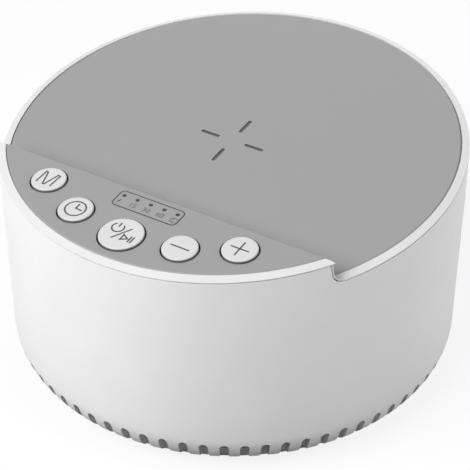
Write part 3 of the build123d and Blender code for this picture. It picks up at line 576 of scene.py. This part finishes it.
def ribbon(path, width, closed):
    """Both edges of a line of even width: each point moves half the width along its mitre."""
    path = np.asarray(path, float)
    run = np.roll(path, -1, axis=0) - path
    run /= np.maximum(np.linalg.norm(run, axis=1, keepdims=True), 1e-12)
    before = np.roll(run, 1, axis=0)
    if not closed:
        run[-1] = run[-2]
        before[0] = run[0]
    normals = [np.column_stack([-way[:, 1], way[:, 0]]) for way in (before, run)]
    overlap = (normals[0] * normals[1]).sum(axis=1, keepdims=True)
    mitre = (normals[0] + normals[1]) / (1 + overlap)
    return path + mitre * width / 2, path - mitre * width / 2


def laid_on(name, mesh, finish, body):
    """Puts ink on a mesh and lets it move with a body."""
    mesh.materials.clear()
    mesh.materials.append(finish.owner)
    piece = in_scene(name, mesh)
    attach(piece, body)


def printed(name, lines, width, level, finish, body="body"):
    """Ink strokes as one mesh: each is a flat bar carried along its path, sunk a little."""
    points, faces, count = [], [], 0
    low, high = level - ink_thickness / 3, level + ink_thickness
    for path, closed in lines:
        left_edge, right_edge = ribbon(path, width, closed)
        rings = np.stack([
            on_top(left_edge, low), on_top(right_edge, low),
            on_top(right_edge, high), on_top(left_edge, high),
        ], axis=1)
        length = len(rings)
        here = np.arange(length if closed else length - 1)
        there = (here + 1) % length
        for corner in range(4):
            turn = (corner + 1) % 4
            faces.append(count + np.column_stack([
                4 * here + corner, 4 * here + turn, 4 * there + turn, 4 * there + corner
            ]))
        if not closed:
            faces.append(count + np.array([[3, 2, 1, 0]]))
            faces.append(count + 4 * (length - 1) + np.array([[0, 1, 2, 3]]))
        points.append(rings.reshape(-1, 3))
        count += 4 * length
    mesh = bpy.data.meshes.new(name)
    mesh.from_pydata(np.vstack(points).tolist(), [], np.vstack(faces).tolist())
    laid_on(name, mesh, finish, body)


def arc(centre, radius, start, end, steps):
    """Points round part of a circle, from one angle to another in degrees."""
    angles = np.radians(np.linspace(start, end, steps))
    return np.column_stack([
        centre[0] + radius * np.cos(angles), centre[1] + radius * np.sin(angles)
    ])


plate_finish = moulded("plate_grey", cover_colour, roughness=0.4, grain=0.00012, flow=0.01)
dress(plate_finish, "indicator_plate")
pipe_finish, pipe_place = new_finish("smoked_acrylic")
pipe_haze = pipe_finish.add("TexNoise", {"Vector": pipe_place, "Scale": 1500.0, "Detail": 2.0})
surfaced(pipe_finish, {
    "Base Color": ramp(pipe_finish, pipe_haze, 0.0, 1.0, 0.006, 0.014),
    "Roughness": 0.15 + pipe_haze * 0.1, "IOR": 1.49, "Coat Weight": 0.5,
})
dress(pipe_finish, "light_pipes")

plate_length, plate_width, plate_corner = 0.0184, 0.0055, 0.0012
plate_row = -0.0381
outline_width = 0.00027
ink_finish = moulded("print_ink", (0.07, 0.07, 0.07), roughness=0.55, grain=0.0001)
sign_finish = moulded("sign_ink", (0.10, 0.10, 0.10), roughness=0.55, grain=0.0001)
corner_x, corner_y = plate_length / 2 - plate_corner, plate_width / 2 - plate_corner
outline = np.vstack([
    arc((side_x * corner_x, plate_row + side_y * corner_y), plate_corner, start, start + 90, 12)
    for side_x, side_y, start in ((1, 1, 0), (-1, 1, 90), (-1, -1, 180), (1, -1, 270))
])
printed("plate_outline", [(outline, True)], outline_width, step_height, ink_finish)

sign_row = -0.03915
sign_x = (-0.0079, -0.00395, 0.0, 0.0040, 0.00785)
bolt_width, moon_width = 0.00018, 0.00012
bolt = np.array([
    (0.00022, 0.00072), (-0.0003, -0.00005), (0.0003, 0.00005), (-0.00022, -0.00072),
])
moon = np.vstack([arc((0, 0), 0.00075, 60, 300, 30), arc((0.00045, 0), 0.00066, 275, 85, 24)])
bolt, moon = bolt + (sign_x[0], sign_row), moon + (sign_x[4], sign_row)
printed("sign_charging", [(bolt, False)], bolt_width, step_height, sign_finish)
printed("sign_night", [(moon, True)], moon_width, step_height, sign_finish)
figure_height, type_height = 0.0015, 0.7


def printed_figures(name, text, x):
    """Figures in ink: filled outlines of plain type, made a mesh and laid on the top."""
    curve = bpy.data.curves.new(name, "FONT")
    curve.body = text
    curve.size = figure_height / type_height
    curve.align_x = "CENTER"
    curve.align_y = "CENTER"
    curve.extrude = ink_thickness / 2
    source = bpy.data.objects.new(name + "_type", curve)
    mesh = bpy.data.meshes.new_from_object(source)
    mesh.name = name
    bpy.data.objects.remove(source)
    flat = np.empty(3 * len(mesh.vertices))
    mesh.vertices.foreach_get("co", flat)
    flat = flat.reshape(-1, 3)
    lift = np.outer(flat[:, 2] + ink_thickness / 3, (0, -sin(tilt), cos(tilt)))
    placed = on_top(flat[:, :2] + (x, sign_row), step_height) + lift
    mesh.vertices.foreach_set("co", placed.ravel())
    laid_on(name, mesh, sign_finish, "body")


for place, figures in enumerate(("15", "30", "60"), start=1):
    printed_figures(f"sign_{figures}", figures, sign_x[place])


# Push buttons: five white caps with a satin skin, with painted shade on their sides for the
# shadow down in the gap. Each legend is printed on its own cap and goes down with it.
cap_top = step_height + 0.00055
# Painted shade: the caps' sides go dark between these levels, for the shadow in the gap round
# each cap.
skirt_shade_top, skirt_shade_full = cap_top - 0.00006, cap_top - 0.0003
skirt_shade_colour = (0.2, 0.2, 0.2, 1)


def skirt_shade_paint(finish, place, colour):
    """Painted shade on the sides: dark from just below the top of the cap, measured square to
    the slanted cover.
    """
    unshaded = ramp(finish, height_over_pad(finish, place), skirt_shade_full, skirt_shade_top, 0.0, 1.0)
    return mixed(finish, unshaded, skirt_shade_colour, colour)


cap_finish = moulded(
    "cap_white", (0.72, 0.72, 0.72), roughness=0.42, grain=0.00016, paint=skirt_shade_paint
)
dress(cap_finish, *[f"button_{name}" for name in button_names])
button_ring = 0.04948
button_angles = dict(zip(button_names, (-34.252, -17.811, 0.0, 17.811, 34.252)))
legend_width = 0.0004
legends = {
    "mode": [([
        (-0.0023, -0.00225), (-0.0022, 0.0022), (-0.0016, 0.0020), (-0.0003, -0.0022),
        (0.00015, -0.0022), (0.0014, 0.0022), (0.0021, 0.0020), (0.00185, -0.00225),
    ], False)],
    "timer": [
        (arc((0, 0), 0.00262, 0, 354, 60), True),
        ([(-0.00005, 0.00195), (0.0, 0.00015), (0.0018, 0.0)], False),
    ],
    "power": [
        (arc((-0.0019, 0.0015), 0.00155, 130, 410, 40), False),
        ([(-0.0019, 0.0018), (-0.0019, 0.0033)], False),
        ([(-0.0014, -0.0024), (0.0015, 0.0025)], False),
        ([(0.0009, -0.0019), (0.0009, 0.0), (0.00245, -0.00095)], True),
        ([(0.0030, -0.0020), (0.0030, 0.0003)], False),
        ([(0.00372, -0.0020), (0.00372, 0.0003)], False),
    ],
    "minus": [([(-0.0026, 0), (0.0026, 0)], False)],
    "plus": [([(-0.0025, 0), (0.0025, 0)], False), ([(0, -0.0025), (0, 0.0025)], False)],
}
for name in button_names:
    angle = radians(button_angles[name])
    centre = np.array([button_ring * sin(angle), -button_ring * cos(angle)])
    strokes = [(np.asarray(path) + centre, closed) for path, closed in legends[name]]
    printed(
        f"legend_{name}", strokes, legend_width, cap_top, ink_finish, body=f"{name}_button"
    )
